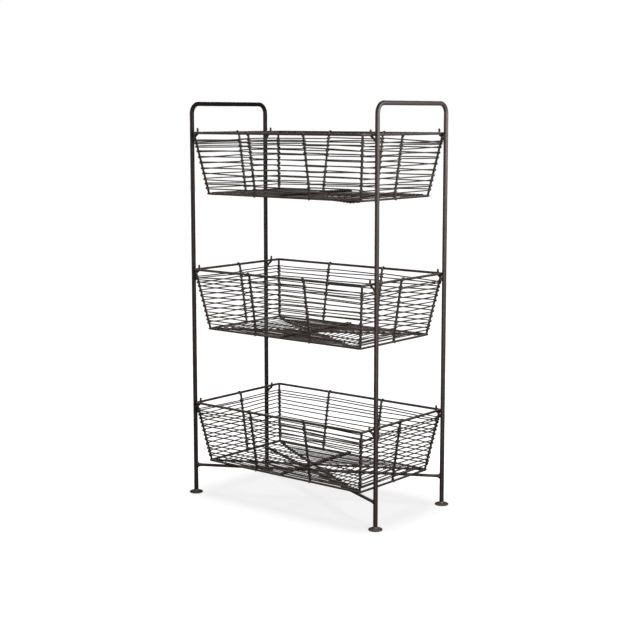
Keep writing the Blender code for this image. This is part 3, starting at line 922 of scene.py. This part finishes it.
def joined_coils(coils, chance, most_bow):
    """Points and swells of one line through the coils, with a bowed span between each and the next."""
    points = list(coils[0])
    swells = [WRAP_SWELL] * len(points)
    for coil in coils[1:]:
        start, end = points[-1], coil[0]
        share = min(1.0, (end - start).length / FULL_BOW_SPAN)
        side = (end - start).cross(UP).normalized()
        up_share, side_share = chance.uniform(-1.0, 1.0), chance.uniform(-SIDE_BOW_SHARE, SIDE_BOW_SHARE)
        span = span_points(start, end, (UP * up_share + side * side_share) * most_bow * share)
        points += span + coil
        swells += [1.0] * len(span) + [WRAP_SWELL] * len(coil)
    return eased(points), eased(swells)


def eased(values):
    """The values with their corners eased."""
    inner = [(a + b * 2 + c) / 4 for a, b, c in zip(values, values[1:], values[2:])]
    return [values[0]] + inner + [values[-1]]


def row_drops(count):
    """Drops of a basket's rows, spread as the eleven are."""
    rows = np.linspace(0, len(ROW_DROPS) - 1, count)
    return [float(drop) for drop in np.interp(rows, range(len(ROW_DROPS)), ROW_DROPS)]


def wall_wire_line(sizes, seed, drops):
    """Rows wound round the basket, one full turn round each rod, stepping down at the rear left post."""
    chance = random.Random(seed)
    wander = sizes.wander * len(ROW_DROPS) / len(drops)
    reach = (sizes.rod + sizes.wire * WRAP_SWELL) / 2 + 2 * TOUCH
    rise = sizes.wrap_rise
    rods = crossings()
    rear, left = WALL_ANGLES["rear"], WALL_ANGLES["left"]

    def corner(drop):
        return post_place(-1, 1, drop)

    coils = [wrap_points(corner, left - math.pi / 2, left, drops[0], drops[0], reach)]
    for row, drop in enumerate(drops):
        for place_at, arrive, leave, long_side in rods:
            way = 1.0 if row == 0 or chance.random() < 0.5 else -1.0
            stray = chance.uniform(0.0 if row == 0 else -1.0, 1.0) * wander
            half = 0.0 if row == 0 else rise / 2
            ride = long_side * LONG_SIDE_LIFTS[row] if row < len(LONG_SIDE_LIFTS) else 0.0
            first = drop + stray - ride - way * half
            coils.append(wrap_points(place_at, arrive, leave + FULL_TURN, first, first + way * rise, reach))
        low = drop + STEP_DOWN
        next_drop = drops[row + 1] if row < len(drops) - 1 else low + rise * LAST_WRAP_SHARE
        coils.append(wrap_points(corner, rear - FULL_TURN, left + FULL_TURN, low, next_drop, reach))
    return joined_coils(coils, chance, sizes.bow)


def floor_wrap(centre, along, across, up, radius, advance):
    """A coil round a level rod, from just before its crossing on one side to just past it on the other."""
    first, last = -FLOOR_OVERLAP, FULL_TURN + FLOOR_OVERLAP
    count = math.ceil((last - first) / WRAP_STEP)
    points = []
    for step in range(count + 1):
        share = step / count
        angle = first + (last - first) * share
        way = across * math.sin(angle) + up * math.cos(angle)
        points.append(centre + along * advance * (share - 0.5) + way * radius)
    return points


def floor_share(turn, sizes):
    """Where a turn of the floor wire crosses the diagonals, as a share of them; the first two lie close."""
    if turn < 1.0:
        return FLOOR_OUTER_SHARE - FLOOR_CLOSE_SHARE * turn
    spacing = (FLOOR_OUTER_SHARE - FLOOR_INNER_SHARE - FLOOR_CLOSE_SHARE) / (sizes.floor_turns - 1)
    return FLOOR_OUTER_SHARE - (FLOOR_CLOSE_SHARE + spacing * (turn - 1.0))


def floor_wire_line(sizes, seed):
    """A flat rectangular spiral, one full turn round the diagonals and the spoke wherever it crosses them."""
    chance = random.Random(seed)
    reach = (sizes.rod + sizes.floor_wire * WRAP_SWELL) / 2 + 2 * TOUCH
    arm = post_place(1, 1, DEPTH)
    advance = -sizes.wrap_rise * FLOOR_RISE_SHARE
    coils = []
    for turn in range(sizes.floor_turns):
        for index, (side_x, side_y) in enumerate(((-1, -1), (1, -1), (1, 1), (-1, 1))):
            share = floor_share(turn + index / 4, sizes) + chance.uniform(-1.0, 1.0) * FLOOR_STRAY_SHARE
            along = Vector((side_x * arm.x, side_y * arm.y, 0.0))
            level = -DEPTH if side_x == side_y else diagonal_dip(along * share) - DEPTH
            rod = along.normalized()
            coils.append(floor_wrap(along * share + UP * level, rod, UP.cross(rod), UP, reach, advance))
            if index % 2 == 0:
                y = side_y * arm.y * (share + floor_share(turn + index / 4 + 0.25, sizes)) / 2
                spot = Vector((0.0, y + chance.uniform(-SPOKE_STRAY, SPOKE_STRAY), SPOKE_LEVEL - DEPTH))
                spoke = Vector((0.0, float(side_y), 0.0))
                coils.append(floor_wrap(spot, spoke, UP.cross(spoke), -UP, reach, advance))
    return joined_coils(coils, chance, sizes.bow * FLOOR_BOW_SHARE)


def rail_line(x, y, level):
    """A rail's closed line, round its four rounded corners."""
    sides = ((1, -1), (1, 1), (-1, 1), (-1, -1))
    corners = [Vector((side_x * x, side_y * y, level)) for side_x, side_y in sides]
    steps, gap = RAIL_FINENESS
    return close_up(bent_line(corners, RAIL_CORNER_RADIUS, steps, closed=True), gap, closed=True)


def diagonal_dip(place):
    """How far the lower corner rod has dipped at a place, so that it passes under the upper one."""
    share = min(1.0, max(0.0, (1.0 - abs(place.x) / post_place(1, 1, DEPTH).x) / DIP_SHARE))
    return LOWER_DIAGONAL_LEVEL * share * share * (3.0 - 2.0 * share)


def corner_rod_line(side, dips, sizes):
    """Corner post, diagonal across the floor, opposite corner post."""
    top_drop = (sizes.rim / 2 + TOUCH) * POST_TOP_SHARE
    places = ((-1, -side, top_drop), (-1, -side, DEPTH), (1, side, DEPTH), (1, side, top_drop))
    steps, gap = ROD_FINENESS
    points = close_up(bent_line([post_place(*place) for place in places], POST_BEND_RADIUS, steps), gap)
    return [point + UP * diagonal_dip(point) * dips for point in points]


def curl_points(centre, side, rail, rod, reach):
    """Points and swells of a curl round a rail, from its thin tip to its full thickness on the inner side."""
    points, swells = [], []
    for step in range(CURL_STEPS + 1):
        share = step / CURL_STEPS
        swell = CURL_TIP_SHARE + (1.0 - CURL_TIP_SHARE) * share**3
        angle = math.pi - (1.0 - share) * abs(reach)
        radius = rail / 2 + rod / 2 * swell + TOUCH
        turn = math.copysign(1.0, reach)
        points.append(centre + side * radius * math.cos(angle) + UP * radius * math.sin(angle) * turn)
        swells.append(swell)
    return points, swells


def rib_line(side, offset, sizes):
    """A rib curled over the rim, straight down inside the wall and curled under the base."""
    rim_reach, base_reach = (RIM_X, BASE_X) if side.x else (RIM_Y, BASE_Y)
    along = Vector((-side.y, side.x, 0.0)) * offset
    rim_middle = along + side * rim_reach
    base_middle = along + side * base_reach - UP * DEPTH
    top, top_swells = curl_points(rim_middle, side, sizes.rim, sizes.rod, RIM_CURL)
    foot, foot_swells = curl_points(base_middle, side, sizes.base, sizes.rod, BASE_CURL)
    straight = close_up([top[-1], foot[-1]], ROD_FINENESS[1])[1:-1]
    swells = top_swells + [1.0] * len(straight) + foot_swells[::-1]
    return tipped(top + straight + foot[::-1], sizes.rod / 2, swells)


def basket_weld_beads(sizes):
    """Beads where the rods meet the rails and where the rails' ends meet."""
    beads = []
    rim, base, rod = sizes.rim / 2, sizes.base / 2, sizes.rod / 2
    for side_x in (-1.0, 1.0):
        for side_y in (-1.0, 1.0):
            outward = Vector((side_x, side_y, 0.0))
            beads.append((post_place(side_x, side_y, rim + POST_BEAD_DROP), "post_top", outward))
            foot = post_place(side_x, side_y, DEPTH) + outward * POST_BEAD_OUT
            beads.append((foot, "post_foot", Vector((side_x, -side_y, 0.0))))
    for side, offset in RIBS.values():
        along = Vector((-side.y, side.x, 0.0))
        for drop, kind in ((rim + RIB_BEAD_GAP, "rib_top"), (DEPTH - base - RIB_BEAD_GAP, "rib_foot")):
            beads.append((rib_place(side, offset, drop) + side * rod * RIB_BEAD_SHARE, kind, along))
    spoke_height = -DEPTH + base + SPOKE_BEAD_SINK
    for side_y in (-1.0, 1.0):
        beads.append((Vector((0.0, side_y * (BASE_Y - SPOKE_BEAD_SINK), spoke_height)), "spoke_end", X_WAY))
    beads.append((Vector((RIM_JOINT_X, RIM_Y, 0.0)), "rim_joint", X_WAY))
    beads.append((Vector((BASE_JOINT_X, BASE_Y, -DEPTH)), "base_joint", X_WAY))
    return beads


def lifted(points, tier):
    """Points of a basket at its tier's height."""
    rise = UP * RIM_HEIGHTS[tier]
    return [point + rise for point in points]


# Operators


class ForgeSideFrames(bpy.types.Operator):
    """Bend the two side frames, each one rod with a leg at either end"""

    bl_idname = "basket_stand.forge_side_frames"
    bl_label = "Side frames"

    def execute(self, context):
        for side in SIDES:
            node = "side_frame_" + side
            forge("leg", node + "_rod", [whole(side_frame_line(side))], "stand", [node])
        return {"FINISHED"}


class TurnFeet(bpy.types.Operator):
    """Make the four disc feet, each with its weld collar round the leg"""

    bl_idname = "basket_stand.turn_feet"
    bl_label = "Feet"

    def execute(self, context):
        for leg, place in LEGS.items():
            node = "foot_" + leg
            data = turned_foot(node + "_disc", context.scene.stand_sizes, metal_named("foot_iron"))
            data.transform(Matrix.Translation((place.x, place.y, 0.0)))
            face_out(data)
            seat(new_object(node + "_disc", data), "stand", [node])
        return {"FINISHED"}


class ForgeBraces(bpy.types.Operator):
    """Lay the two crossed braces between the legs"""

    bl_idname = "basket_stand.forge_braces"
    bl_label = "Braces"

    def execute(self, context):
        for node in BRACES:
            forge("brace", node + "_rod", [brace_line(node, context.scene.stand_sizes)], "stand", [node])
        return {"FINISHED"}


class ForgeHooks(bpy.types.Operator):
    """Bend the twelve hooks that carry the baskets"""

    bl_idname = "basket_stand.forge_hooks"
    bl_label = "Hooks"

    def execute(self, context):
        sizes = context.scene.stand_sizes
        for tier in TIERS:
            lines = []
            for index, leg in enumerate(LEG_NAMES):
                points = hook_line(leg, tier, sizes, HOOK_SEED_STEP * index + len(tier))
                lines.append(tipped(points, sizes.hook / 2))
            forge("hook", tier + "_hooks", lines, "stand", [f"hook_{tier}_{leg}" for leg in LEG_NAMES])
        return {"FINISHED"}


class WeldStand(bpy.types.Operator):
    """Run the weld beads of the stand"""

    bl_idname = "basket_stand.weld_stand"
    bl_label = "Stand welds"

    def execute(self, context):
        bead_piece("stand_weld_beads", stand_weld_beads(context.scene.stand_sizes), "stand", "frame_iron")
        return {"FINISHED"}


class BendRails(bpy.types.Operator):
    """Bend the rim rail and base rail of each basket"""

    bl_idname = "basket_stand.bend_rails"
    bl_label = "Basket rails"

    def execute(self, context):
        for tier in TIERS:
            for kind, x, y, level in (("rim", RIM_X, RIM_Y, 0.0), ("base", BASE_X, BASE_Y, -DEPTH)):
                node = f"{tier}_{kind}_rail"
                line = whole(lifted(rail_line(x, y, level), tier), closed=True)
                forge(kind, node + "_rod", [line], tier + "_basket", [node])
        return {"FINISHED"}


class BendCornerRods(bpy.types.Operator):
    """Bend the two rods of each basket that make its corner posts and floor diagonals"""

    bl_idname = "basket_stand.bend_corner_rods"
    bl_label = "Corner rods"

    def execute(self, context):
        for tier in TIERS:
            for name, side, dips in (("upper", 1, False), ("lower", -1, True)):
                node = f"{tier}_corner_rod_{name}"
                line = whole(lifted(corner_rod_line(side, dips, context.scene.basket_sizes), tier))
                forge("rod", node + "_rod", [line], tier + "_basket", [node])
        return {"FINISHED"}


class CurlRibs(bpy.types.Operator):
    """Curl the six ribs of each basket over its rim and under its base, and lay the floor spoke"""

    bl_idname = "basket_stand.curl_ribs"
    bl_label = "Ribs and spokes"

    def execute(self, context):
        sizes = context.scene.basket_sizes
        reach = BASE_Y + sizes.base / 2
        for tier in TIERS:
            lines = []
            for side, offset in RIBS.values():
                points, swells, closed = rib_line(side, offset, sizes)
                lines.append((lifted(points, tier), swells, closed))
            forge("rod", tier + "_ribs", lines, tier + "_basket", [f"{tier}_{name}" for name in RIBS])
            ends = [Vector((0.0, side * reach, SPOKE_LEVEL - DEPTH)) for side in (-1.0, 1.0)]
            spoke = tipped(close_up(lifted(ends, tier), ROD_FINENESS[1]), sizes.rod / 2)
            node = tier + "_floor_spoke"
            forge("rod", node + "_rod", [spoke], tier + "_basket", [node])
        return {"FINISHED"}


class WindWalls(bpy.types.Operator):
    """Wind the wire of each basket's walls"""

    bl_idname = "basket_stand.wind_walls"
    bl_label = "Wall wires"

    def execute(self, context):
        sizes = context.scene.basket_sizes
        for index, tier in enumerate(TIERS):
            points, swells = wall_wire_line(sizes, sizes.seed + index, row_drops(ROW_COUNTS[tier]))
            line = tipped(lifted(points, tier), sizes.wire / 2, swells)
            node = tier + "_wall_winding"
            forge("wire", node + "_wire", [line], tier + "_basket", [node])
        return {"FINISHED"}


class WindFloors(bpy.types.Operator):
    """Wind the wire of each basket's floor"""

    bl_idname = "basket_stand.wind_floors"
    bl_label = "Floor wires"

    def execute(self, context):
        sizes = context.scene.basket_sizes
        for index, tier in enumerate(TIERS):
            points, swells = floor_wire_line(sizes, sizes.seed + FLOOR_SEED_STEP + index)
            line = tipped(lifted(points, tier), sizes.floor_wire / 2, swells)
            node = tier + "_floor_winding"
            forge("floor_wire", node + "_wire", [line], tier + "_basket", [node])
        return {"FINISHED"}


class WeldBaskets(bpy.types.Operator):
    """Run the weld beads of each basket"""

    bl_idname = "basket_stand.weld_baskets"
    bl_label = "Basket welds"

    def execute(self, context):
        beads = basket_weld_beads(context.scene.basket_sizes)
        for tier in TIERS:
            raised = [(place + UP * RIM_HEIGHTS[tier], kind, way) for place, kind, way in beads]
            bead_piece(tier + "_weld_beads", raised, tier + "_basket", "basket_iron")
        return {"FINISHED"}


class BuildStage(bpy.types.Operator):
    """Set the pale floor, the studio light and the camera"""

    bl_idname = "basket_stand.build_stage"
    bl_label = "Stage"

    def execute(self, context):
        look = context.scene.stage_look
        add_floor(look)
        add_backdrop()
        add_lights(look)
        add_camera()
        context.scene.view_settings.view_transform = "Standard"
        return {"FINISHED"}


# The stage

WHITE = (1.0, 1.0, 1.0, 1.0)
BLACK = (0.0, 0.0, 0.0, 1.0)
SENSOR_WIDTH = 36.0
FLOOR_HALF_WIDTH = 14.0
DOME_RADIUS = 13.0
# Half the part of the floor under the stand whose glow is lowered as a painted shadow, how far outside it the
# glow rises, and to what
PAINTED_SHADOW_HALF = (0.20, 0.09, 0.0)
PAINTED_SHADOW_FADE = (0.02, 0.20)
FAR_GLOW = 1.05
FLOOR = ("floor",)
LEFT_FRAME = ("side_frame_left_rod",)
BOTH_FRAMES = (*LEFT_FRAME, "side_frame_right_rod")
FEET = tuple(f"foot_{leg}_disc" for leg in LEG_NAMES)
UPPER_FLOOR = (
    "upper_corner_rod_upper_rod",
    "upper_corner_rod_lower_rod",
    "upper_floor_spoke_rod",
    "upper_floor_winding_wire",
)
# Each light's place, target, size, colour and the pieces that it is kept off
LIGHTS = {
    "key": ((0.75, -0.58, 0.62), (0.22, 0.0, 0.52), (0.3, 1.3), "warm", FLOOR),
    "side": ((0.95, 0.15, 1.0), (0.25, 0.0, 0.75), (0.3, 0.5), "cool", FLOOR + LEFT_FRAME + UPPER_FLOOR),
    "basket": ((1.2, -1.05, 3.1), (0.1, 0.0, 0.45), (2.0, 2.0), "warm", FLOOR + BOTH_FRAMES),
    "back": ((-1.2, 1.5, 1.3), (0.0, 0.0, 0.45), (2.0, 0.8), "warm", FLOOR + FEET),
    "fill": ((-1.0, -0.9, 0.7), (0.0, 0.0, 0.5), (0.4, 1.4), "warm", FLOOR),
    "top": ((0.0, 0.0, 3.0), (0.0, 0.0, 0.0), (1.3, 1.1), "plain", BOTH_FRAMES),
}
# Where the photograph was taken from; the small shift is what its framing needs
CAMERA_PLACE = (1.9590, -2.3931, 0.8837)
CAMERA_YAW = 0.6837
CAMERA_PITCH = 0.1305
CAMERA_LENS = 76.93
CAMERA_SHIFT = -0.04


def stage_piece(name, shape, material_name, finish):
    """A piece of the studio in one material, which neither lights the stand nor shows in its metal."""
    data = mesh_of(shape, name)
    material = bpy.data.materials.new(material_name)
    material.use_nodes = True
    tree = material.node_tree
    feed(tree, tree.nodes["Principled BSDF"], {"Specular IOR Level": 0.0, **finish})
    data.materials.append(material)
    piece = new_object(name, data)
    piece.visible_diffuse = False
    piece.visible_glossy = False
    return piece


def add_floor(look):
    """A large pale sheet that glows so that it reads as white paper; under the stand its glow is lowered in a
    soft patch as a painted shadow, beside the real shadow that the top light casts.
    """
    shape = bmesh.new()
    bmesh.ops.create_grid(shape, x_segments=1, y_segments=1, size=FLOOR_HALF_WIDTH)
    finish = {"Base Color": (*look.paper, 1.0), "Roughness": 0.9, "Emission Color": WHITE}
    floor = stage_piece("floor", shape, "paper", finish)
    tree = floor.active_material.node_tree
    place = add_node(tree, "ShaderNodeTexCoord", -8).outputs["Object"]
    folded = add_node(tree, "ShaderNodeVectorMath", -7, 0, {0: place}, operation="ABSOLUTE")
    past = add_node(tree, "ShaderNodeVectorMath", -6, 0, {0: folded, 1: PAINTED_SHADOW_HALF}, operation="SUBTRACT")
    outside = add_node(tree, "ShaderNodeVectorMath", -5, 0, {0: past}, operation="MAXIMUM")
    distance = add_node(tree, "ShaderNodeVectorMath", -4, 0, {0: outside}, operation="LENGTH")
    # The glow is lowest in the patch under the stand, a painted shadow, and rises to its full level outside
    # it
    near, far = PAINTED_SHADOW_FADE
    fade = {"From Min": near, "From Max": far, "To Min": look.glow, "To Max": FAR_GLOW}
    fade["Value"] = distance.outputs["Value"]
    glow = add_node(tree, "ShaderNodeMapRange", -3, 0, fade, interpolation_type="SMOOTHSTEP")
    feed(tree, tree.nodes["Principled BSDF"], {"Emission Strength": glow})


def add_backdrop():
    """A white dome that only the camera sees, so that the background is plain."""
    shape = bmesh.new()
    bmesh.ops.create_uvsphere(shape, u_segments=48, v_segments=24, radius=DOME_RADIUS)
    finish = {"Base Color": BLACK, "Emission Color": WHITE, "Emission Strength": 1.0}
    dome = stage_piece("backdrop", shape, "backdrop_white", finish)
    dome.visible_shadow = False


def unlit_pieces(light, names):
    """A collection that keeps a light off the named pieces."""
    kept_off = bpy.data.collections.new("kept_off_" + light)
    for name in names:
        kept_off.objects.link(bpy.data.objects[name])
    for member in kept_off.collection_objects:
        member.light_linking.link_state = "EXCLUDE"
    return kept_off


def add_lights(look):
    """The area lights, each kept off the pieces that it would show too light, and the studio's own level."""
    for name, (place, target, size, colour, kept_off) in LIGHTS.items():
        light = bpy.data.lights.new(name + "_light", "AREA")
        light.shape = "RECTANGLE"
        light.size, light.size_y = size
        light.energy = getattr(look, name + "_power")
        light.color = getattr(look, colour)
        lamp = new_object(light.name, light)
        lamp.location = place
        lamp.rotation_mode = "QUATERNION"
        lamp.rotation_quaternion = (Vector(target) - Vector(place)).to_track_quat("-Z", "Y")
        lamp.visible_camera = False
        lamp.light_linking.receiver_collection = unlit_pieces(name, kept_off)
    world = bpy.data.worlds.new("studio")
    world.use_nodes = True
    feed(world.node_tree, world.node_tree.nodes["Background"], {"Color": WHITE, "Strength": look.sky})
    bpy.context.scene.world = world


def add_camera():
    """A camera at the photograph's place and angle."""
    data = bpy.data.cameras.new("camera")
    data.lens = CAMERA_LENS
    data.sensor_width = SENSOR_WIDTH
    data.shift_y = CAMERA_SHIFT
    camera = new_object("camera", data)
    camera.location = CAMERA_PLACE
    camera.rotation_euler = (math.pi / 2 - CAMERA_PITCH, 0.0, CAMERA_YAW)
    bpy.context.scene.camera = camera


OPERATORS = (
    ForgeSideFrames,
    TurnFeet,
    ForgeBraces,
    ForgeHooks,
    WeldStand,
    BendRails,
    BendCornerRods,
    CurlRibs,
    WindWalls,
    WindFloors,
    WeldBaskets,
    BuildStage,
)
PROPERTY_GROUPS = {
    "stand_sizes": StandSizes,
    "basket_sizes": BasketSizes,
    "forge_look": ForgeLook,
    "iron_look": IronLook,
    "stage_look": StageLook,
}


class BasketStandPanel(bpy.types.Panel):
    """Lists the sizes, the looks and the pieces"""

    bl_idname = "VIEW3D_PT_basket_stand"
    bl_label = "Basket Stand"
    bl_space_type = "VIEW_3D"
    bl_region_type = "UI"
    bl_category = "Basket Stand"

    def draw(self, context):
        for name, group in PROPERTY_GROUPS.items():
            box = self.layout.box()
            box.label(text=group.__doc__.rstrip("."))
            for label in group.__annotations__:
                box.prop(getattr(context.scene, name), label)
        for operator in OPERATORS:
            self.layout.operator(operator.bl_idname)


def register():
    for group in PROPERTY_GROUPS.values():
        bpy.utils.register_class(group)
    for name, group in PROPERTY_GROUPS.items():
        setattr(bpy.types.Scene, name, bpy.props.PointerProperty(type=group))
    for part in (*OPERATORS, BasketStandPanel):
        bpy.utils.register_class(part)


def unregister():
    for part in (BasketStandPanel, *reversed(OPERATORS)):
        bpy.utils.unregister_class(part)
    for name in PROPERTY_GROUPS:
        delattr(bpy.types.Scene, name)
    for group in reversed(PROPERTY_GROUPS.values()):
        bpy.utils.unregister_class(group)


def main():
    """Builds the stand and its stage."""
    register()
    for operator in OPERATORS:
        area, name = operator.bl_idname.split(".")
        getattr(getattr(bpy.ops, area), name)()


if __name__ == "__main__":
    main()
